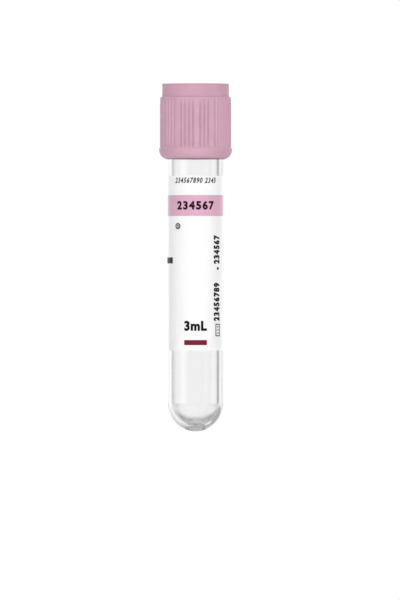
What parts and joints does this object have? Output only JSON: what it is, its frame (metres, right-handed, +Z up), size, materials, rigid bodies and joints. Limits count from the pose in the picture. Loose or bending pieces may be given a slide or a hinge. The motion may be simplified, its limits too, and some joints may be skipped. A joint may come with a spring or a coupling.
{
  "type": "blood collection tube",
  "caption": "Round-bottomed clear plastic tube with a wrapped paper label, closed by a ribbed cap whose rubber stopper a needle can pierce; stands on its cap.",
  "frame": {"origin": "on the table, under the middle of the cap, as the capped tube stands on the flat top of its cap", "axes": "+Z is up, from the cap to the tube's round end, along the tube's own axis; -Y is the way the middle of the label faces; +X is to the right of someone who looks at the label with the cap down"},
  "size_m": [0.0172, 0.0172, 0.0822],
  "materials": {
    "clear_plastic": "clear, smooth moulded",
    "cap_plastic": "satin dusty pink",
    "stopper_rubber": "matt mauve rubber",
    "label_paper": "white, slightly glossy",
    "band_ink": "printed pink",
    "dark_ink": "printed black",
    "red_ink": "printed dark red"
  },
  "bodies": {
    "closure": {"cap": "cap_plastic", "stopper": "stopper_rubber"},
    "tube": {"tube": "clear_plastic", "label": "label_paper", "label_band": "band_ink", "label_marks": "dark_ink", "label_bar": "red_ink"}
  },
  "joints": [
    {"name": "closure_pull", "type": "slide", "parent": "closure", "child": "tube", "axis": [0, 0, 1], "range_m": [0, 0.02]}
  ]
}
